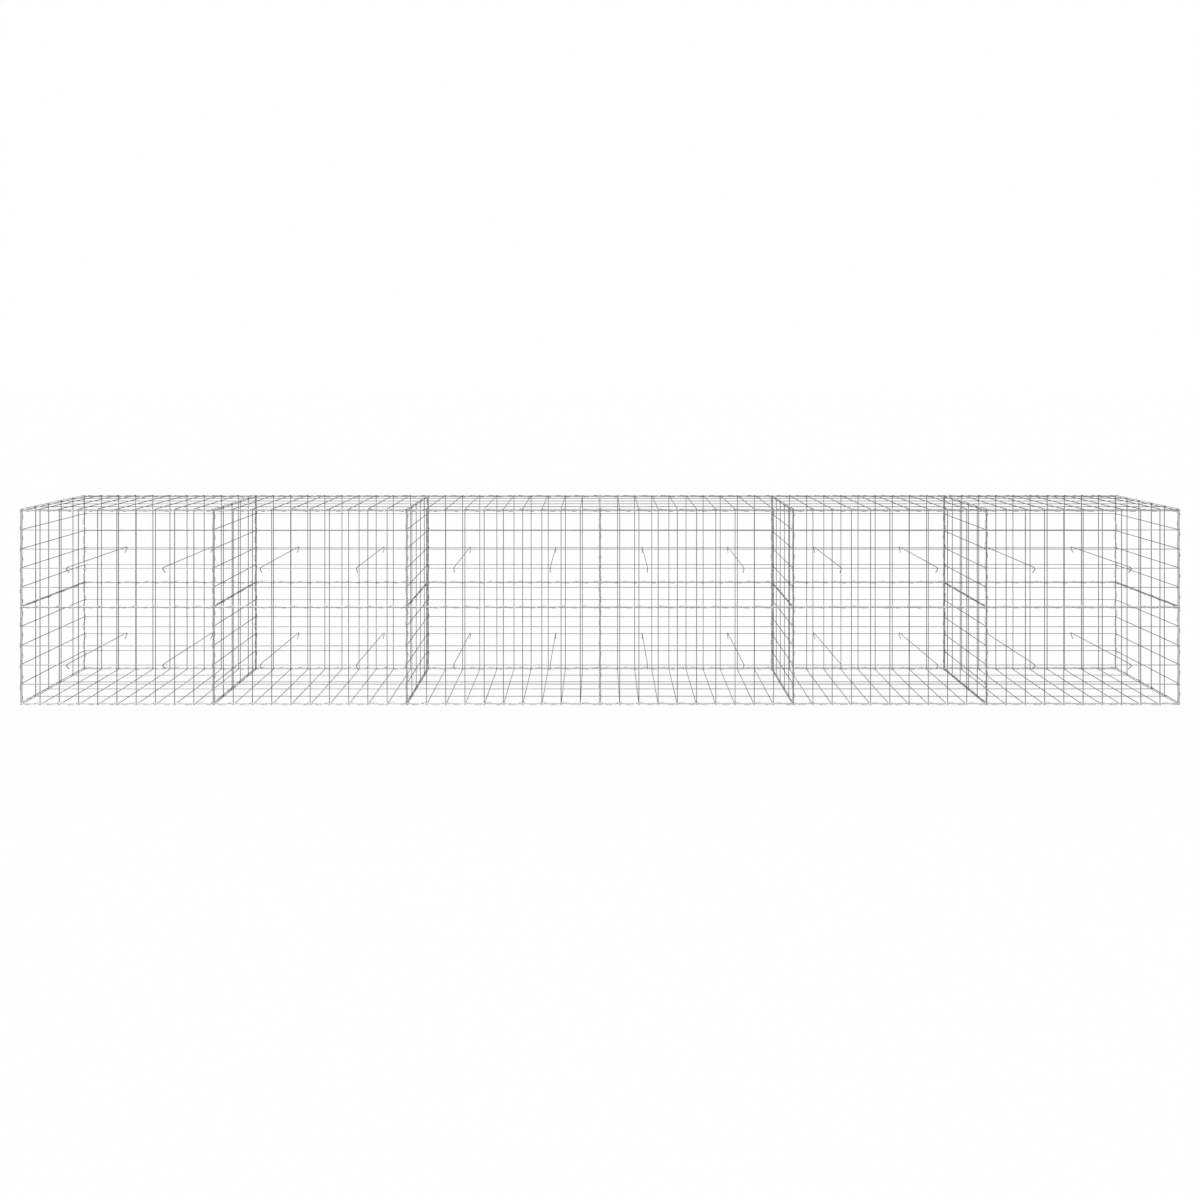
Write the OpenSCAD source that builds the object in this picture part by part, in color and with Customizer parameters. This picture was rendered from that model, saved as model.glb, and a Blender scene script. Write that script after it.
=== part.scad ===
// Gabion wall: an empty welded wire mesh cage, laced shut, as it stands before it is filled with stone.
// Six one-metre bays run along X. Each face is made of flat mesh panels, and hooked tie rods run from
// the front to the back. Millimetres, +Z up. The origin is on the ground, under the middle of the wall.

/* [Mesh panels] */
// Length of one panel, which is also the length of one bay
panel_l = 1000; // [500:50:1500]
// Width of one panel, which is also the depth of the wall and the height of one course
panel_w = 500; // [300:50:1000]
// Nominal spacing of the wires in both directions
cell = 100; // [50:5:150]
// Thickness of the mesh wire
wire_d = 4; // [3:0.1:6]
// Depth by which two crossing wires are pressed into each other at their weld
weld_bite = 0.5; // [0.3:0.1:0.5]
// Distance from the edge of a panel to the middle of its outermost wire
edge_inset = 2.5; // [1:0.5:6]

/* [Wall] */
// Number of bays along the wall
bays = 6; // [1:1:8]
// Number of courses of panels, one above the other
courses = 2; // [1:1:3]
// Bay joints that carry a partition across the wall, counted from the left
partition_joints = [1, 2, 4, 5];

/* [Tie rods] */
// Thickness of the tie rods
tie_d = 4; // [3:0.1:6]
// Number of tie rods in each bay and course
ties_per_bay = 2; // [1:1:4]
// Distance from the middle of the mesh cell that a tie rod runs through
tie_shift = -6; // [-10:1:10]
// Horizontal wire of a panel that the tie rods hook over, counted from the lowest
tie_wire = 3; // [2:1:4]
// Straight length of the hooked tip
tie_tip = 28; // [10:1:60]
// Angle through which the rod is bent round the wire
tie_bend = 135; // [90:5:170]

/* [Clearances] */
// Gap between two pieces that rest against each other
seat_gap = 0.3; // [0.1:0.1:1]
// Play of the wire inside a tie rod's bend
tie_play = 2.4; // [0.3:0.1:5]

/* [Hidden] */
// Wires are drawn with eight sides and meet ridge on ridge where they are welded, so wire_d is the size
// across the corners. The floor's and the cover's cross wires have flats up and down instead, because
// the wall rests on them and the next row stands on them.
wire_sides = 8;

// A panel is two layers of wires, welded where they cross.
layer_step = wire_d - weld_bite;
panel_t = wire_d + layer_step;

// Heights: the floor lies on the ground, the courses stand on it, and the cover lies on the courses.
course_z0 = panel_t + seat_gap;
course_step = panel_w + seat_gap;
cover_z0 = course_z0 + courses * course_step;

// The wall's length and the depth that its floor and cover span
wall_l = bays * panel_l;
wall_w = panel_w;

// Inner and outer side of the upright wires of the front and back, which stand on the floor's edge wires
upright_in = wall_w / 2 - edge_inset - wire_d / 2;
upright_out = upright_in + wire_d;

// End panels and partitions fit between the uprights of the front and the back.
cross_w = 2 * (upright_in - seat_gap);

// Tie rods lie on the horizontal wires of the front and back panels and loop round them.
tie_bend_r = (wire_d + tie_d) / 2 + tie_play;
tie_wire_y = upright_out + layer_step - wire_d / 2;
tie_rise = wire_at(tie_wire - 1, panel_w) + (wire_d + tie_d) / 2 + seat_gap;

mesh_colour = [0.60, 0.61, 0.61];
tie_colour = [0.66, 0.67, 0.67];

// Number of mesh cells that fit across a panel of this size
function cells_across(size) = round(size / cell);

// Place of one wire across a panel of this size, counted from zero at the edge
function wire_at(index, size) =
    edge_inset + index * (size - 2 * edge_inset) / cells_across(size);

// Left edge of a bay, counted from 1
function bay_x(bay) = (bay - 1) * panel_l - wall_l / 2;

// Lower edge of a course, counted from 0
function course_z(course) = course_z0 + course * course_step;

// Place of a tie rod along a bay: the middle of the mesh cell at the middle of its share of the bay
function tie_x(index) =
    let (cell_index = floor((index + 0.5) / ties_per_bay * cells_across(panel_l)))
    (wire_at(cell_index, panel_l) + wire_at(cell_index + 1, panel_l)) / 2 + tie_shift;

// Names of one kind of node, numbered from 1
function numbered(name, count) = [for (i = [1 : 1 : count]) str(name, "_", i)];

// The courses have names of their own from the ground up.
course_names = ["lower", "upper", "top"];

// A straight wire along Z, with ridges or flats that face along X and Y
module wire(length, d = wire_d, flats = false) {
    if (flats)
        rotate([0, 0, 180 / wire_sides])
            cylinder(h = length, d = d / cos(180 / wire_sides), $fn = wire_sides);
    else
        cylinder(h = length, d = d, $fn = wire_sides);
}

// A flat panel with its corner at the origin: the long wires run along X, on top of the cross wires.
// The wires stop short of the panel's ends by half a seat gap along X.
module mesh_panel(length, width, flat_cross_wires = false) {
    long_wires = cells_across(width);
    cross_wires = cells_across(length);
    color(mesh_colour)
    union() {
        for (i = [0 : long_wires])
            translate([seat_gap / 2, wire_at(i, width), layer_step + wire_d / 2])
                rotate([0, 90, 0])
                    wire(length - seat_gap);
        for (i = [0 : cross_wires])
            translate([wire_at(i, length), 0, wire_d / 2])
                rotate([-90, 0, 0])
                    wire(width, flats = flat_cross_wires);
    }
}

// Floor panel of one bay: the cross wires lie on the ground.
module floor_panel(bay) {
    translate([bay_x(bay), -wall_w / 2, 0])
        mesh_panel(panel_l, wall_w, flat_cross_wires = true);
}

// Cover panel of one bay: turned over, so its long wires lie on the uprights.
module cover_panel(bay) {
    translate([bay_x(bay), wall_w / 2, cover_z0 + panel_t])
        rotate([180, 0, 0])
            mesh_panel(panel_l, wall_w, flat_cross_wires = true);
}

// Front panel of one bay and course: the horizontal wires are on the outside.
module front_panel(bay, course) {
    translate([bay_x(bay), -upright_in, course_z(course)])
        rotate([90, 0, 0])
            mesh_panel(panel_l, panel_w);
}

// Back panel of one bay and course, the front panel's mirror image
module back_panel(bay, course) {
    mirror([0, 1, 0])
        front_panel(bay, course);
}

// A panel across the wall: it starts at X = 0, with its horizontal wires first and its upright wires after.
module cross_panel() {
    translate([0, cross_w / 2, 0])
        rotate([90, 0, -90])
            translate([-seat_gap / 2, 0, -panel_t])
                mesh_panel(cross_w + seat_gap, panel_w);
}

// One end of the wall, closed by a panel in each course; the left end is the right end's mirror image.
module right_end() {
    for (course = [0 : courses - 1])
        translate([wall_l / 2, 0, course_z(course)])
            mirror([1, 0, 0])
                cross_panel();
}

module left_end() {
    mirror([1, 0, 0])
        right_end();
}

// A partition on the joint between two bays, with a panel in each course
module partition(number) {
    joint_x = bay_x(partition_joints[number - 1] + 1);
    for (course = [0 : courses - 1])
        translate([joint_x - panel_t / 2, 0, course_z(course)])
            cross_panel();
}

// Half of a tie rod, from the middle of the wall to the front: it passes over a horizontal wire, bends
// down round it and points back into the wall. The straight part's middle line is at height 0.
module tie_half() {
    rotate([90, 0, 0])
        wire(tie_wire_y, tie_d);
    translate([0, -tie_wire_y, -tie_bend_r])
        rotate([0, -90, 0])
            rotate([0, 0, 180])
                tie_loop();
}

// The bend of a tie rod round a wire that runs along Z, and its tip
module tie_loop() {
    rotate([0, 0, 180 - tie_bend]) {
        rotate_extrude(angle = tie_bend, $fn = 48)
            translate([tie_bend_r, 0])
                circle(d = tie_d, $fn = wire_sides);
        translate([tie_bend_r, 0, 0])
            rotate([90, 0, 0])
                wire(tie_tip, tie_d);
    }
}

// One tie rod across the wall
module tie_rod() {
    color(tie_colour)
    union() {
        tie_half();
        mirror([0, 1, 0]) tie_half();
    }
}

// All tie rods of one course
module tie_rods(course) {
    for (bay = [1 : bays])
        for (i = [0 : ties_per_bay - 1])
            translate([bay_x(bay) + tie_x(i), 0, course_z(course) + tie_rise])
                tie_rod();
}

for (bay = [1 : bays]) {
    floor_panel(bay);
    cover_panel(bay);
    for (course = [0 : courses - 1]) {
        front_panel(bay, course);
        back_panel(bay, course);
    }
}
left_end();
right_end();
for (number = [1 : 1 : len(partition_joints)]) {
    partition(number);
}
for (course = [0 : courses - 1]) {
    tie_rods(course);
}
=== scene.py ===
# %% [markdown]
# # A gabion wall in welded mesh
# The real thing is a row of empty wire cages. Flat panels of welded wire stand edge to edge, spiral
# binders lace their edges together, and hooked tie rods keep the front and the back from bulging once the
# stones go in. The frame brings every panel at its real place, drawn with plain eight-sided bars. This
# script makes the round wire, the welds, the binders and the zinc around it.

# %% Load the frame
import math
import random

import bmesh
import bpy
from mathutils import Matrix, Vector


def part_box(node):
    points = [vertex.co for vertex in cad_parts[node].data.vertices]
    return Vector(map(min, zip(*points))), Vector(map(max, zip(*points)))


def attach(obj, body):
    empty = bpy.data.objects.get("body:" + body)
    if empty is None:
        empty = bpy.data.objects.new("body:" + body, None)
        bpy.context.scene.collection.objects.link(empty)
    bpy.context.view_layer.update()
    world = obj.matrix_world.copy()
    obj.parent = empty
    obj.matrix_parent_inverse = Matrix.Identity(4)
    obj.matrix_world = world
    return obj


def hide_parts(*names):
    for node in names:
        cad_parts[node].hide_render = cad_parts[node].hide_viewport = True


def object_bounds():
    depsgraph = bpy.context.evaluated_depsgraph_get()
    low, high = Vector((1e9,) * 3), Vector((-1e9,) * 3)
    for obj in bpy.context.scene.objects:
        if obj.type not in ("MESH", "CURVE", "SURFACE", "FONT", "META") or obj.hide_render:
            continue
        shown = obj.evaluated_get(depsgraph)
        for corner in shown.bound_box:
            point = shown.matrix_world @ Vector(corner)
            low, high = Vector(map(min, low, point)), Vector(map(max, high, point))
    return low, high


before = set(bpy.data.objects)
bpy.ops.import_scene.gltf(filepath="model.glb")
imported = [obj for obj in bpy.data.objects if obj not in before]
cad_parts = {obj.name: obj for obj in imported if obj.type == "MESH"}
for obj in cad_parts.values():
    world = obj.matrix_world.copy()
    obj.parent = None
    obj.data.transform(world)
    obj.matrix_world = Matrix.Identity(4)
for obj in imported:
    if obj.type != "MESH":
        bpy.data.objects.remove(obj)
cad_low, cad_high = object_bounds()
print("The wall measures", [round(high - low, 3) for low, high in zip(cad_low, cad_high)], "m")

# %% [markdown]
# ## Sizes
# A panel is two layers of straight wire that are pressed a little into each other at their welds. The
# panel's box in the frame gives its length, width and thickness, so only the wire and the mesh need
# values of their own.

# %% Read the panel's sizes from the frame
WIRE_D = 0.004
CELL = 0.1
EDGE_INSET = 0.0025
SEAT_GAP = 0.0003
BAYS = 6
COURSES = ["lower", "upper"]
PARTITIONS = 4

wire_r = WIRE_D / 2
floor_low, floor_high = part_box("floor_1")
panel_t = floor_high.z - floor_low.z
layer_step = panel_t - WIRE_D
panel_l = floor_high.x - floor_low.x + SEAT_GAP
panel_w = floor_high.y - floor_low.y
cross_low, cross_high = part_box("right_end")
cross_w = cross_high.y - cross_low.y
course_z = [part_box(f"front_{course}_1")[0].z for course in COURSES]
print("panel", round(panel_l, 4), "by", round(panel_w, 4), "m; layers", round(layer_step, 4), "m apart")

# %% [markdown]
# ## Straight wires and welds
# Each wire is a cylinder whose cut ends have a small chamfer. Where two wires cross, the welding
# current squeezes the steel out into a low lens of metal. A flattened ball with few faces is enough for
# it, because there are thousands of them. Two numbers ride along on the mesh for the finish: a tone for
# each wire, which holds painted light and shade and also varies a little, since no two lengths of zinc
# look quite alike, and a mark on the welds.

# %% Make one wire or one weld
WIRE_SIDES = 12
CHAMFER = 0.0004
RIM_ANGLE = math.radians(60)
WELD_R = 0.0026
WELD_H = 0.0012
WELD_SEGMENTS = 8
WELD_RINGS = 4
WELD_TONE = 0.5
TONE_SPREAD = 0.08
SEED = 7
rng = random.Random(SEED)
X, Y, Z = Vector((1, 0, 0)), Vector((0, 1, 0)), Vector((0, 0, 1))


def new_mesh():
    bm = bmesh.new()
    bm.verts.layers.float.new("tone")
    bm.verts.layers.float.new("weld")
    return bm


def mark(bm, verts, tone, weld=0.0):
    for v in verts:
        v[bm.verts.layers.float["tone"]] = tone
        v[bm.verts.layers.float["weld"]] = weld


def tone_near(tone):
    return tone + TONE_SPREAD * rng.uniform(-1, 1)


def add_wire(bm, middle, axis, length, tone):
    turn = Z.rotation_difference(axis).to_matrix().to_4x4()
    made = bmesh.ops.create_cone(
        bm, cap_ends=True, segments=WIRE_SIDES, radius1=wire_r, radius2=wire_r, depth=length,
        matrix=Matrix.Translation(middle) @ turn,
    )
    mark(bm, made["verts"], tone_near(tone))
    rims = {e for v in made["verts"] for e in v.link_edges if e.calc_face_angle() > RIM_ANGLE}
    bmesh.ops.bevel(
        bm, geom=list(rims), offset=CHAMFER, affect="EDGES", segments=1, profile=0.5, material=-1,
    )


def add_weld(bm, middle):
    made = bmesh.ops.create_uvsphere(
        bm, u_segments=WELD_SEGMENTS, v_segments=WELD_RINGS, radius=1,
        matrix=Matrix.Translation(middle) @ Matrix.Diagonal((WELD_R, WELD_R, WELD_H, 1)),
    )
    mark(bm, made["verts"], WELD_TONE, weld=1.0)


# %% [markdown]
# ## A mesh panel
# A panel is made flat, with its corner at the origin: the cross wires lie underneath and the long wires
# on top. Panels of one kind share one shape, so each kind is made once and copied.
#
# The tones paint light and shade into the zinc, with some wear. The tones follow a likely story of how
# such a panel is made and used. The long wire at one edge of each panel is made much paler, a painted
# highlight. The long wires are paler and the cross wires darker, painted light from above and painted
# shade on the uprights. The binders rub the outermost cross wires clean. The wires that run from front to
# back, the cross wires of the covers and the long wires of the panels across the wall, are darkest, a
# painted shade, and the covers' long wires are as dark as cross wires. The cage is handled mostly from
# the front, so the panels across the wall are rubbed only at that end; their back edge wire is made
# darkest. The one at the right end faces the other way round, so it is made as a shape of its own.

# %% Make a panel flat
def places(size):
    cells = round(size / CELL)
    return [EDGE_INSET + i * (size - 2 * EDGE_INSET) / cells for i in range(cells + 1)]


# Painted highlight: the long wire at one edge of each panel is made much paler.
PAINTED_HIGHLIGHT_TONE = 0.9
RUBBED_TONE = 0.54
# Painted light from above: the long wires are made paler than the cross wires. The binders take this tone
# as well.
BRIGHT_TONE = 0.33
# Painted shade on the cross wires, which mostly stand upright. The covers' long wires and the tie rods
# take this tone as well.
DULL_TONE = 0.14
# Painted shade on the wires that run from front to back; it also makes the back edge of the panels across
# the wall darkest.
PAINTED_SHADE_TONE = 0.0
SHARP_ANGLE = math.radians(40)


def finished_mesh(bm, name):
    mesh = bpy.data.meshes.new(name)
    bm.to_mesh(mesh)
    bm.free()
    return mesh


def make_panel(name, length, width, long_tones, cross_tones):
    bm = new_mesh()
    low_z, high_z = wire_r, wire_r + layer_step
    painted_highlight_tone, long_tone = long_tones
    first_tone, cross_tone, last_tone = cross_tones
    for y in places(width):
        # The long wire at the first edge takes the painted highlight.
        tone = painted_highlight_tone if y == EDGE_INSET else long_tone
        add_wire(bm, Vector((length / 2, y, high_z)), X, length - SEAT_GAP, tone)
    for x in places(length):
        tone = cross_tone
        if x < CELL / 2:
            tone = first_tone
        if length - x < CELL / 2:
            tone = last_tone
        add_wire(bm, Vector((x, width / 2, low_z)), Y, width, tone)
    for x in places(length):
        for y in places(width):
            add_weld(bm, Vector((x, y, (low_z + high_z) / 2)))
    mesh = finished_mesh(bm, name)
    mesh.shade_smooth()
    mesh.set_sharp_from_angle(angle=SHARP_ANGLE)
    print(name, len(mesh.polygons), "faces")
    return mesh


# %% Make the four kinds of panel
bay_panel = make_panel(
    "bay_panel", panel_l, panel_w,
    long_tones=(PAINTED_HIGHLIGHT_TONE, BRIGHT_TONE),
    cross_tones=(RUBBED_TONE, DULL_TONE, RUBBED_TONE),
)
cover_panel = make_panel(
    "cover_panel", panel_l, panel_w,
    long_tones=(DULL_TONE, DULL_TONE),
    cross_tones=(RUBBED_TONE, PAINTED_SHADE_TONE, RUBBED_TONE),
)
cross_panel = make_panel(
    "cross_panel", cross_w + SEAT_GAP, panel_w,
    long_tones=(PAINTED_SHADE_TONE, PAINTED_SHADE_TONE),
    cross_tones=(PAINTED_SHADE_TONE, DULL_TONE, RUBBED_TONE),
)
right_panel = make_panel(
    "right_panel", cross_w + SEAT_GAP, panel_w,
    long_tones=(PAINTED_SHADE_TONE, PAINTED_SHADE_TONE),
    cross_tones=(RUBBED_TONE, DULL_TONE, PAINTED_SHADE_TONE),
)

# %% [markdown]
# ## Panels in their places
# Each panel is turned from flat to where it stands by saying where its own length, width and thickness
# point. The long wires are outside on the front and the back, above on the floor, and underneath on the
# cover.

# %% Turn, join and name the pieces
MESH_SLOT = "galvanised_wire"
panels = []


def facing(x_way, y_way, z_way):
    return Matrix((x_way, y_way, z_way)).transposed().to_4x4()


def stand(mesh, corner, along, across):
    placed = mesh.copy()
    start = Matrix.Translation(corner) @ facing(along, across, along.cross(across))
    placed.transform(start @ Matrix.Translation((-SEAT_GAP / 2, 0, 0)))
    return placed


def join_meshes(name, meshes):
    bm = bmesh.new()
    for mesh in meshes:
        bm.from_mesh(mesh)
        bpy.data.meshes.remove(mesh)
    return finished_mesh(bm, name)


def add_piece(name, mesh, slot, *nodes):
    mesh.name = name
    piece = bpy.data.objects.new(name, mesh)
    bpy.context.scene.collection.objects.link(piece)
    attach(piece, "root")
    if nodes:
        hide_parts(*nodes)
    return piece


def add_panel(node, mesh):
    panels.append(add_piece("mesh_" + node, mesh, MESH_SLOT, node))


# %% Stand the panels up along the wall
for bay in range(1, BAYS + 1):
    node = f"floor_{bay}"
    add_panel(node, stand(bay_panel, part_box(node)[0], X, Y))
    node = f"cover_{bay}"
    low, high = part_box(node)
    add_panel(node, stand(cover_panel, Vector((low.x, high.y, high.z)), X, -Y))
    for course in COURSES:
        node = f"front_{course}_{bay}"
        low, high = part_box(node)
        add_panel(node, stand(bay_panel, Vector((low.x, high.y, low.z)), X, Z))
        node = f"back_{course}_{bay}"
        low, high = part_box(node)
        add_panel(node, stand(bay_panel, Vector((high.x, low.y, low.z)), -X, Z))
print(len(panels), "panels along the wall")

# %% Stand up the ends and the partitions
cross_nodes = ["left_end", "right_end"] + [f"partition_{i}" for i in range(1, PARTITIONS + 1)]
for node in cross_nodes:
    low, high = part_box(node)
    pair = []
    for z in course_z:
        if node == "right_end":
            pair.append(stand(right_panel, Vector((low.x, low.y, z)), Y, Z))
        else:
            pair.append(stand(cross_panel, Vector((high.x, high.y, z)), -Y, Z))
    add_panel(node, join_meshes(node, pair))
print(len(panels), "panel pieces")

# %% [markdown]
# ## Tie rods
# A tie rod is one straight wire with a hook bent at each end. The wire's round section is drawn once at
# the middle of the wall, pushed out straight to the front, spun round the bend, and pushed on to make the
# tip, whose end stays square and stops a chamfer's width short of the frame's. A mirror gives the other
# half. The rods of one course hang at the same height, two in each bay.

# %% Bend one tie rod
TIE_D = 0.004
TIE_BEND_R = 0.0064
TIE_BEND = math.radians(135)
TIE_BEND_STEPS = 12
TIE_TIP = 0.028
TIE_SHIFT = -0.006
TIES_PER_BAY = 2
TIE_SLOT = "tie_wire"
MERGE_DIST = 1e-5


def push(bm, edges, way):
    made = bmesh.ops.extrude_edge_only(bm, edges=edges)["geom"]
    bmesh.ops.translate(bm, vec=way, verts=[g for g in made if isinstance(g, bmesh.types.BMVert)])
    return [g for g in made if isinstance(g, bmesh.types.BMEdge) and g.is_boundary]


def bend(bm, edges, centre, axis, angle, steps, advance=Vector()):
    made = bmesh.ops.spin(
        bm, geom=edges, cent=centre, axis=axis, dvec=advance / steps, angle=angle, steps=steps,
        space=Matrix.Identity(4), use_merge=False, use_normal_flip=False, use_duplicate=False,
    )
    return [g for g in made["geom_last"] if isinstance(g, bmesh.types.BMEdge)]


tie_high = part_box("tie_rods_lower")[1]
tie_reach = tie_high.y - TIE_D / 2 - TIE_BEND_R
print("tie rods reach", round(tie_reach, 4), "m to each side before their bends")


def make_tie(middle, tone):
    bm = new_mesh()
    made = bmesh.ops.create_circle(
        bm, cap_ends=False, segments=WIRE_SIDES, radius=TIE_D / 2,
        matrix=Matrix.Translation(middle) @ facing(X, Z, -Y),
    )
    rim = list({e for v in made["verts"] for e in v.link_edges})
    rim = push(bm, rim, -Y * tie_reach)
    centre = middle - Y * tie_reach - Z * TIE_BEND_R
    rim = bend(bm, rim, centre, X, TIE_BEND, TIE_BEND_STEPS)
    tip_way = Matrix.Rotation(TIE_BEND, 4, "X") @ -Y
    rim = push(bm, rim, tip_way * (TIE_TIP - CHAMFER))
    bmesh.ops.contextual_create(bm, geom=rim)
    bmesh.ops.mirror(
        bm, geom=bm.verts[:] + bm.edges[:] + bm.faces[:], axis="Y", merge_dist=MERGE_DIST,
        matrix=Matrix.Translation(middle),
    )
    bmesh.ops.recalc_face_normals(bm, faces=bm.faces)
    mark(bm, bm.verts, tone)
    mesh = finished_mesh(bm, "tie")
    mesh.shade_smooth()
    mesh.set_sharp_from_angle(angle=SHARP_ANGLE)
    return mesh


# %% Hang the tie rods in both courses
tie_pieces = []
cell_edges = places(panel_l)
for course in COURSES:
    node = f"tie_rods_{course}"
    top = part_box(node)[1].z - TIE_D / 2
    rods = []
    for bay in range(BAYS):
        for i in range(TIES_PER_BAY):
            cell = int((i + 0.5) / TIES_PER_BAY * round(panel_l / CELL))
            x = cad_low.x + bay * panel_l + (cell_edges[cell] + cell_edges[cell + 1]) / 2 + TIE_SHIFT
            rods.append(make_tie(Vector((x, 0, top)), tone_near(DULL_TONE)))
    tie_pieces.append(add_piece(f"hooked_{node}", join_meshes(node, rods), TIE_SLOT, node))
print(len(tie_pieces), "sets of tie rods")

# %% [markdown]
# ## Spiral binders
# A binder is a long open spring of thinner wire. It is screwed along a seam so that it catches the edge
# wires of both panels, and its ends are bent round tight so that it can't unwind. The spin operator
# makes it from one round section: it turns the section about the seam and moves it along at each step.
# Only half a binder is wound, from its middle to one end. The spring looks the same when it is turned
# half round about a line through its middle, so a turned copy makes the other half.

# %% Wind one binder
BINDER_D = 0.0027
BINDER_PITCH = 0.109
BINDER_END_GAP = 0.015
LOW_POINT = 0.038
STEPS_PER_TURN = 12
BINDER_SIDES = 6
END_BEND_R = 0.003
END_BEND_STEPS = 3
END_TURNS = 0.6
END_ADVANCE = 0.004


def make_binder(radius, length):
    bm = new_mesh()
    middle_turn = math.pi / 2 - math.tau * (length / 2 - LOW_POINT) / BINDER_PITCH
    out = Matrix.Rotation(middle_turn, 3, "X") @ Y
    heading = (X * BINDER_PITCH - X.cross(out) * math.tau * radius).normalized()
    made = bmesh.ops.create_circle(
        bm, cap_ends=False, segments=BINDER_SIDES, radius=BINDER_D / 2,
        matrix=Matrix.Translation(out * radius) @ facing(out, heading.cross(out), heading),
    )
    rim = list({e for v in made["verts"] for e in v.link_edges})

    turns = (length / 2 - BINDER_END_GAP) / BINDER_PITCH
    steps = round(turns * STEPS_PER_TURN)
    rim = bend(bm, rim, Vector(), X, -turns * math.tau, steps, X * turns * BINDER_PITCH)
    unwind = Matrix.Rotation(-turns * math.tau, 3, "X")
    end_out, end_heading = unwind @ out, unwind @ heading
    corner = X * turns * BINDER_PITCH + end_out * radius + end_out.cross(end_heading) * END_BEND_R
    end_round = END_TURNS * math.tau
    close = math.atan2(BINDER_PITCH, math.tau * radius) - math.atan2(END_ADVANCE, end_round * radius)
    rim = bend(bm, rim, corner, end_out, close, END_BEND_STEPS)
    end_steps = round(END_TURNS * STEPS_PER_TURN)
    rim = bend(bm, rim, Vector(), X, -end_round, end_steps, X * END_ADVANCE)
    bmesh.ops.contextual_create(bm, geom=rim)

    copied = bmesh.ops.duplicate(bm, geom=bm.verts[:] + bm.edges[:] + bm.faces[:])["geom"]
    turned = [g for g in copied if isinstance(g, bmesh.types.BMVert)]
    bmesh.ops.rotate(bm, cent=Vector(), matrix=Matrix.Rotation(math.pi, 3, out), verts=turned)
    bmesh.ops.remove_doubles(bm, verts=bm.verts, dist=MERGE_DIST)
    bmesh.ops.recalc_face_normals(bm, faces=bm.faces)
    bmesh.ops.translate(bm, vec=X * length / 2, verts=bm.verts)
    mark(bm, bm.verts, BRIGHT_TONE)
    mesh = finished_mesh(bm, "binder")
    mesh.shade_smooth()
    return mesh


# %% [markdown]
# ## Lacing a seam
# A binder sits snugly round the edge wires that it holds: two in most seams, three where a partition
# meets a joint. So a seam is given by its wires, and the smallest circle round them gives the binder's
# middle line and its radius. Where it goes round wires that lie on the ground, it presses a few
# millimetres into the soil, and on the cover it stands as much above the wires.

# %% Fit a binder round its wires
BINDER_PLAY = 0.0001
BINDER_SLOT = "galvanised_wire"
FIT_PASSES = 200
RADIUS_DIGITS = 5
binders = []
wound = {}


def snug_circle(wires):
    centre = sum(wires, Vector()) / len(wires)
    for step in range(2, FIT_PASSES):
        farthest = max(wires, key=lambda wire: (wire - centre).length)
        centre += (farthest - centre) / step
    return centre, max((wire - centre).length for wire in wires)


def lace(wires, along, start, length, side):
    centre, reach = snug_circle([wire - along * wire.dot(along) for wire in wires])
    radius = round(reach + wire_r + BINDER_D / 2 + BINDER_PLAY, RADIUS_DIGITS)
    if (radius, length) not in wound:
        wound[radius, length] = make_binder(radius, length)
    placed = wound[radius, length].copy()
    turn = facing(along, side, along.cross(side))
    placed.transform(Matrix.Translation(centre + along * start) @ turn)
    return placed


# %% [markdown]
# ## Binders along the wall
# Three seams run along each face: at the floor, between the two courses, and under the cover. A seam a
# metre long takes two binders, one behind the other, each half a metre long.

# %% Lace the long seams
BINDER_L = panel_l / 2
edge_y = -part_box("front_lower_1")[0].y - wire_r
upright_y = -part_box("front_lower_1")[1].y + wire_r
inset_y = panel_w / 2 - EDGE_INSET
first_z = course_z[0] + EDGE_INSET
below_z = course_z[0] + panel_w - EDGE_INSET
above_z = course_z[1] + EDGE_INSET
last_z = course_z[1] + panel_w - EDGE_INSET
cover_low, cover_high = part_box("cover_1")

for face, side in (("front", -Y), ("back", Y)):
    seams = {
        "bottom": [side * edge_y + Z * first_z, side * inset_y + Z * (wire_r + layer_step)],
        "middle": [side * edge_y + Z * below_z, side * edge_y + Z * above_z],
        "top": [side * edge_y + Z * last_z, side * inset_y + Z * (cover_low.z + wire_r)],
    }
    for seam, wires in seams.items():
        starts = [cad_low.x + i * BINDER_L for i in range(2 * BAYS)]
        row = [lace(wires, X, start, BINDER_L, side) for start in starts]
        binders.append(add_piece(f"binders_{face}_{seam}", join_meshes(seam, row), BINDER_SLOT))
print(len(binders), "rows along the wall, of radius", [round(r * 1000, 2) for r, _ in wound], "mm")

# %% [markdown]
# ## Binders across the wall and up its corners
# The same spring closes the seams from front to back: along the floor and the cover at both ends and at
# every joint, and between the two courses where there is an end or a partition. On the front and the back, every corner and
# every joint is also laced from bottom to top, a course at a time.

# %% Lace the seams across the wall
floor_z = wire_r
cover_z = cover_high.z - wire_r
joint_x = [cad_low.x + i * panel_l for i in range(1, BAYS)]
seam_x = [cad_low.x, *joint_x, cad_high.x]
closed = {}


def edges_at(joint):
    both = (joint - EDGE_INSET, joint + EDGE_INSET)
    return [x for x in both if cad_low.x < x < cad_high.x]


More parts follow.
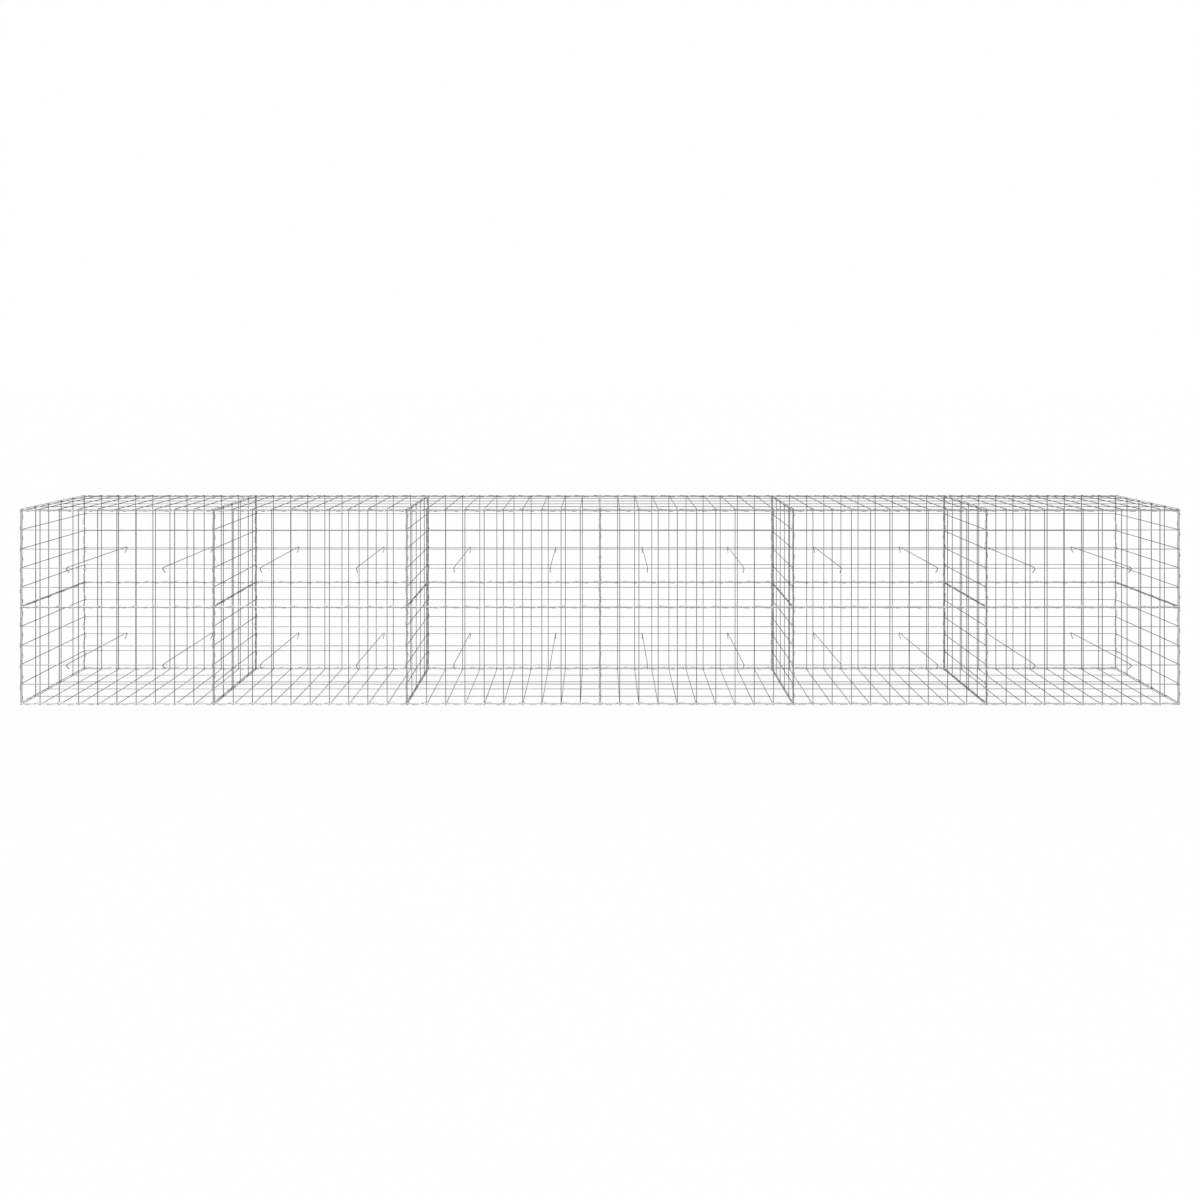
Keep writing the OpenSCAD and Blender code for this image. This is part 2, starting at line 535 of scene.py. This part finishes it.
for node in cross_nodes:
    low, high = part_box(node)
    if node == "right_end":
        bar_x, upright_x, side = high.x - wire_r, low.x + wire_r, X
    else:
        bar_x, upright_x, side = low.x + wire_r, high.x - wire_r, -X
    joint = min(seam_x, key=lambda x: abs(x - bar_x))
    closed[joint] = upright_x
    edges = edges_at(joint)
    rows = [
        [X * bar_x + Z * first_z] + [X * x + Z * floor_z for x in edges],
        [X * bar_x + Z * below_z, X * bar_x + Z * above_z],
        [X * bar_x + Z * last_z] + [X * x + Z * cover_z for x in edges],
    ]
    row = [lace(wires, Y, -cross_w / 2, cross_w, side) for wires in rows]
    binders.append(add_piece(f"binders_{node}", join_meshes(node, row), BINDER_SLOT))

open_joints = [x for x in joint_x if x not in closed]
for number, joint in enumerate(open_joints, 1):
    rows = [[X * x + Z * z for x in edges_at(joint)] for z in (floor_z, cover_z)]
    row = [lace(wires, Y, -cross_w / 2, cross_w, X) for wires in rows]
    binders.append(add_piece(f"binders_open_joint_{number}", join_meshes("joint", row), BINDER_SLOT))
print("joints with a partition or an end:", len(closed), "without:", len(open_joints))

# %% Lace the corners and joints
for face, side in (("front", -Y), ("back", Y)):
    row = []
    for joint in seam_x:
        wires = [X * x + side * upright_y for x in edges_at(joint)]
        if joint in closed:
            wires.append(X * closed[joint] + side * (cross_w / 2 - EDGE_INSET))
        row += [lace(wires, Z, z, panel_w, side) for z in course_z]
    binders.append(add_piece(f"binders_{face}_uprights", join_meshes(face, row), BINDER_SLOT))
print(len(binders), "rows of binders,", sum(len(piece.data.polygons) for piece in binders), "faces")

# %% [markdown]
# ## Zinc
# Hot-dip zinc is pale when it is new and turns to a dull, slightly blue grey. It freezes in small
# crystals, so neighbouring spots catch the light a little differently. It is made duller over the
# welds, so that they stand out. One node group makes this pattern from the object's own coordinates, and
# each material gives it its own two greys. It puts out a colour, a roughness and a height for the bump.

# %% Helpers for node groups
def new_group(name, inputs, outputs):
    group = bpy.data.node_groups.new(name, "ShaderNodeTree")
    for label, kind, value in inputs:
        socket = group.interface.new_socket(label, in_out="INPUT", socket_type=kind)
        socket.default_value = value
    for label, kind in outputs:
        group.interface.new_socket(label, in_out="OUTPUT", socket_type=kind)
    group.nodes.new("NodeGroupInput")
    group.nodes.new("NodeGroupOutput")
    return group


def math_node(group, operation, first, second, third=None):
    node = group.nodes.new("ShaderNodeMath")
    node.operation = operation
    for socket, value in zip(node.inputs, (first, second, third)):
        if hasattr(value, "is_output"):
            group.links.new(value, socket)
        elif value is not None:
            socket.default_value = value
    return node.outputs[0]


def mix_colours(group, factor, first, second):
    node = group.nodes.new("ShaderNodeMix")
    node.data_type = "RGBA"
    group.links.new(factor, node.inputs["Factor"])
    group.links.new(first, node.inputs["A"])
    group.links.new(second, node.inputs["B"])
    return node.outputs["Result"]


# %% Make the patches, the crystals and the grain
PATCH_PER_M = 9
PATCH_DETAIL = 4.0
PATCH_ROUGHNESS = 0.6
SPANGLE_PER_M = 420
GRAIN_PER_M = 1500
GRAIN_DETAIL = 2.0
SOCKET_DULL = (0.15, 0.15, 0.15, 1)
SOCKET_BRIGHT = (0.4, 0.4, 0.4, 1)

zinc_pattern = new_group(
    "zinc_pattern",
    [("Dull", "NodeSocketColor", SOCKET_DULL), ("Bright", "NodeSocketColor", SOCKET_BRIGHT)],
    [("Colour", "NodeSocketColor"), ("Roughness", "NodeSocketFloat"), ("Height", "NodeSocketFloat")],
)
inside, links = zinc_pattern.nodes, zinc_pattern.links
group_in, group_out = inside["Group Input"], inside["Group Output"]
place = inside.new("ShaderNodeTexCoord").outputs["Object"]


def pattern(kind, scale, **settings):
    node = inside.new(kind)
    node.inputs["Scale"].default_value = scale
    for name, value in settings.items():
        node.inputs[name].default_value = value
    links.new(place, node.inputs["Vector"])
    return node


patch_noise = pattern("ShaderNodeTexNoise", PATCH_PER_M, Detail=PATCH_DETAIL, Roughness=PATCH_ROUGHNESS)
patches = patch_noise.outputs["Fac"]
crystals = pattern("ShaderNodeTexVoronoi", SPANGLE_PER_M)
crystal_values = inside.new("ShaderNodeSeparateColor")
links.new(crystals.outputs["Color"], crystal_values.inputs["Color"])
spangle = crystal_values.outputs["Red"]
grain = pattern("ShaderNodeTexNoise", GRAIN_PER_M, Detail=GRAIN_DETAIL).outputs["Fac"]


def attribute(name):
    node = inside.new("ShaderNodeAttribute")
    node.attribute_name = name
    return node.outputs["Fac"]


# %% Mix the colour, the roughness and the height
PATCH_SHARE = 0.4
SPANGLE_SHARE = 0.15
WELD_SHARE = 0.35
ROUGH_DULL = 0.42
ROUGH_SPAN = -0.12
SPANGLE_HEIGHT = 0.4
# The tone on each wire holds painted light and shade besides its small random spread.
tone = attribute("tone")
weld = attribute("weld")
shade = math_node(zinc_pattern, "SUBTRACT", tone, (PATCH_SHARE + SPANGLE_SHARE) / 2)
shade = math_node(zinc_pattern, "MULTIPLY_ADD", patches, PATCH_SHARE, shade)
shade = math_node(zinc_pattern, "MULTIPLY_ADD", spangle, SPANGLE_SHARE, shade)
shade = math_node(zinc_pattern, "MULTIPLY_ADD", weld, -WELD_SHARE, shade)
clamp = inside.new("ShaderNodeClamp")
links.new(shade, clamp.inputs["Value"])
bright_share = clamp.outputs["Result"]
colour = mix_colours(zinc_pattern, bright_share, group_in.outputs["Dull"], group_in.outputs["Bright"])
links.new(colour, group_out.inputs["Colour"])
roughness = math_node(zinc_pattern, "MULTIPLY_ADD", bright_share, ROUGH_SPAN, ROUGH_DULL)
links.new(roughness, group_out.inputs["Roughness"])
height = math_node(zinc_pattern, "MULTIPLY_ADD", spangle, SPANGLE_HEIGHT, grain)
links.new(height, group_out.inputs["Height"])
print("zinc pattern with", len(inside), "nodes")

# %% [markdown]
# ## The three wires
# The mesh is dipped after it is welded, and its greys lie far apart so that the tones can hold the
# painted light and shade. The tie rods are cut from darker stock, and the thin binder wire is drawn after
# it is dipped, so it is the palest and most even.

# %% Make the materials
BUMP_HEIGHT = 0.0002


def make_zinc(name, dull, bright, metallic, bump):
    material = bpy.data.materials.new(name)
    material.use_nodes = True
    nodes, links = material.node_tree.nodes, material.node_tree.links
    shader = nodes["Principled BSDF"]
    shader.inputs["Metallic"].default_value = metallic
    coat = nodes.new("ShaderNodeGroup")
    coat.node_tree = zinc_pattern
    coat.inputs["Dull"].default_value = (*dull, 1)
    coat.inputs["Bright"].default_value = (*bright, 1)
    lumps = nodes.new("ShaderNodeBump")
    lumps.inputs["Strength"].default_value = bump
    lumps.inputs["Distance"].default_value = BUMP_HEIGHT
    links.new(coat.outputs["Colour"], shader.inputs["Base Color"])
    links.new(coat.outputs["Roughness"], shader.inputs["Roughness"])
    links.new(coat.outputs["Height"], lumps.inputs["Height"])
    links.new(lumps.outputs["Normal"], shader.inputs["Normal"])
    return material


def dress(pieces, material):
    for piece in pieces:
        piece.data.materials.clear()
        piece.data.materials.append(material)


DIPPED = {"metallic": 0.8, "bump": 0.4}
DRAWN = {"metallic": 0.5, "bump": 0.2}
mesh_zinc = make_zinc("mesh_zinc", (0.12, 0.123, 0.126), (0.75, 0.755, 0.76), **DIPPED)
tie_zinc = make_zinc("tie_zinc", (0.11, 0.113, 0.116), (0.45, 0.455, 0.46), **DIPPED)
binder_zinc = make_zinc("binder_zinc", (0.60, 0.605, 0.61), (0.96, 0.965, 0.97), **DRAWN)
dress(panels, mesh_zinc)
dress(tie_pieces, tie_zinc)
dress(binders, binder_zinc)
print("materials:", [material.name for material in bpy.data.materials])

# %% [markdown]
# ## Studio
# The wall stands on a plain white floor in a white room. The room itself gives a part of the light, and a
# wide sun overhead gives the rest, so that every spot of the floor is lit alike. The light falls mostly
# from above, so wires lying flat look paler than upright ones, and the panels' tones paint the same in as
# well. The sun is split in two: a wide one lights the matt share of the zinc from nearly overhead, and a
# narrower one is mirrored in its gloss from the left, so the wires shine more on that side.
#
# The floor could be plain white paper, but it would throw much light up under the wires, and their shadow
# would be strong. So only a tenth of its white is its own colour, and the rest is a glow that is seen
# directly or in a reflection and lights nothing. The shadow stays, and is faint.

# %% Share out the light
ROOM_LIGHT = 0.10
SUN_LIGHT = 1 - ROOM_LIGHT
PAPER_GREY = 0.1
WHITE = (1, 1, 1, 1)


def seen_directly(nodes, links):
    """Give 1 to what the camera sees, straight or in a reflection, and 0 to light falling on things."""
    path = nodes.new("ShaderNodeLightPath")
    shown = path.outputs["Is Camera Ray"]
    for ray in ("Is Glossy Ray", "Is Transmission Ray"):
        either = nodes.new("ShaderNodeMath")
        either.operation = "MAXIMUM"
        links.new(shown, either.inputs[0])
        links.new(path.outputs[ray], either.inputs[1])
        shown = either.outputs[0]
    return shown


# %% Lay the floor
FLOOR_SIZE = 400
bm = bmesh.new()
bmesh.ops.create_grid(bm, x_segments=1, y_segments=1, size=FLOOR_SIZE / 2)
floor_mesh = finished_mesh(bm, "studio_floor")
floor = bpy.data.objects.new("studio_floor", floor_mesh)
bpy.context.scene.collection.objects.link(floor)
paper = bpy.data.materials.new("white_paper")
paper.use_nodes = True
paper_nodes, paper_links = paper.node_tree.nodes, paper.node_tree.links
paper_shader = paper_nodes["Principled BSDF"]
paper_shader.inputs["Base Color"].default_value = (PAPER_GREY, PAPER_GREY, PAPER_GREY, 1)
paper_shader.inputs["Roughness"].default_value = 1.0
paper_shader.inputs["Specular IOR Level"].default_value = 0.0
paper_shader.inputs["Emission Color"].default_value = WHITE
glow = paper_nodes.new("ShaderNodeMath")
glow.operation = "MULTIPLY"
glow.inputs[1].default_value = 1 - PAPER_GREY
paper_links.new(seen_directly(paper_nodes, paper_links), glow.inputs[0])
paper_links.new(glow.outputs[0], paper_shader.inputs["Emission Strength"])
floor_mesh.materials.append(paper)
print("floor", FLOOR_SIZE, "m wide, with a grey of its own of", PAPER_GREY)

# %% Light the room
world = bpy.data.worlds.new("white_room")
bpy.context.scene.world = world
world.use_nodes = True
world_nodes, world_links = world.node_tree.nodes, world.node_tree.links
background = world_nodes["Background"]
background.inputs["Color"].default_value = WHITE
strength = world_nodes.new("ShaderNodeMath")
strength.operation = "MULTIPLY_ADD"
strength.inputs[1].default_value = 1 - ROOM_LIGHT
strength.inputs[2].default_value = ROOM_LIGHT
world_links.new(seen_directly(world_nodes, world_links), strength.inputs[0])
world_links.new(strength.outputs[0], background.inputs["Strength"])
print("room", ROOM_LIGHT, "sun", SUN_LIGHT)

# %% Hang the two suns
MATT_TILT = 12
MATT_SPREAD = 110
GLOSS_TILT = -35
GLOSS_SPREAD = 70


def soft_sun(name, tilt, spread):
    data = bpy.data.lights.new(name, "SUN")
    data.energy = SUN_LIGHT * math.pi
    data.angle = math.radians(spread)
    sun = bpy.data.objects.new(name, data)
    sun.rotation_euler = (0, math.radians(tilt), 0)
    bpy.context.scene.collection.objects.link(sun)
    return sun


soft_sun("matt_sun", MATT_TILT, MATT_SPREAD).visible_glossy = False
soft_sun("gloss_sun", GLOSS_TILT, GLOSS_SPREAD).visible_diffuse = False
bpy.context.scene.view_settings.view_transform = "Standard"
print("suns tilted by", MATT_TILT, "and", GLOSS_TILT, "degrees")

# %% [markdown]
# ## Camera
# The view is level and looks straight at the front from a little above the wall's top. The lens is wide,
# and the picture is shifted down to the wall instead of tilting the camera, so uprights stay upright.

# %% Set the camera
SENSOR = 36
LENS = 23.28
SHIFT_Y = -0.1811
CAMERA_AWAY = 4.016
CAMERA_Z = 1.668
camera_data = bpy.data.cameras.new("camera")
camera_data.sensor_width = SENSOR
camera_data.lens = LENS
camera_data.shift_y = SHIFT_Y
camera = bpy.data.objects.new("camera", camera_data)
camera.location = (0, -upright_y - CAMERA_AWAY, CAMERA_Z)
camera.rotation_euler = (math.radians(90), 0, 0)
bpy.context.scene.collection.objects.link(camera)
bpy.context.scene.camera = camera
print("camera", CAMERA_AWAY, "m in front of the uprights and", CAMERA_Z, "m up")
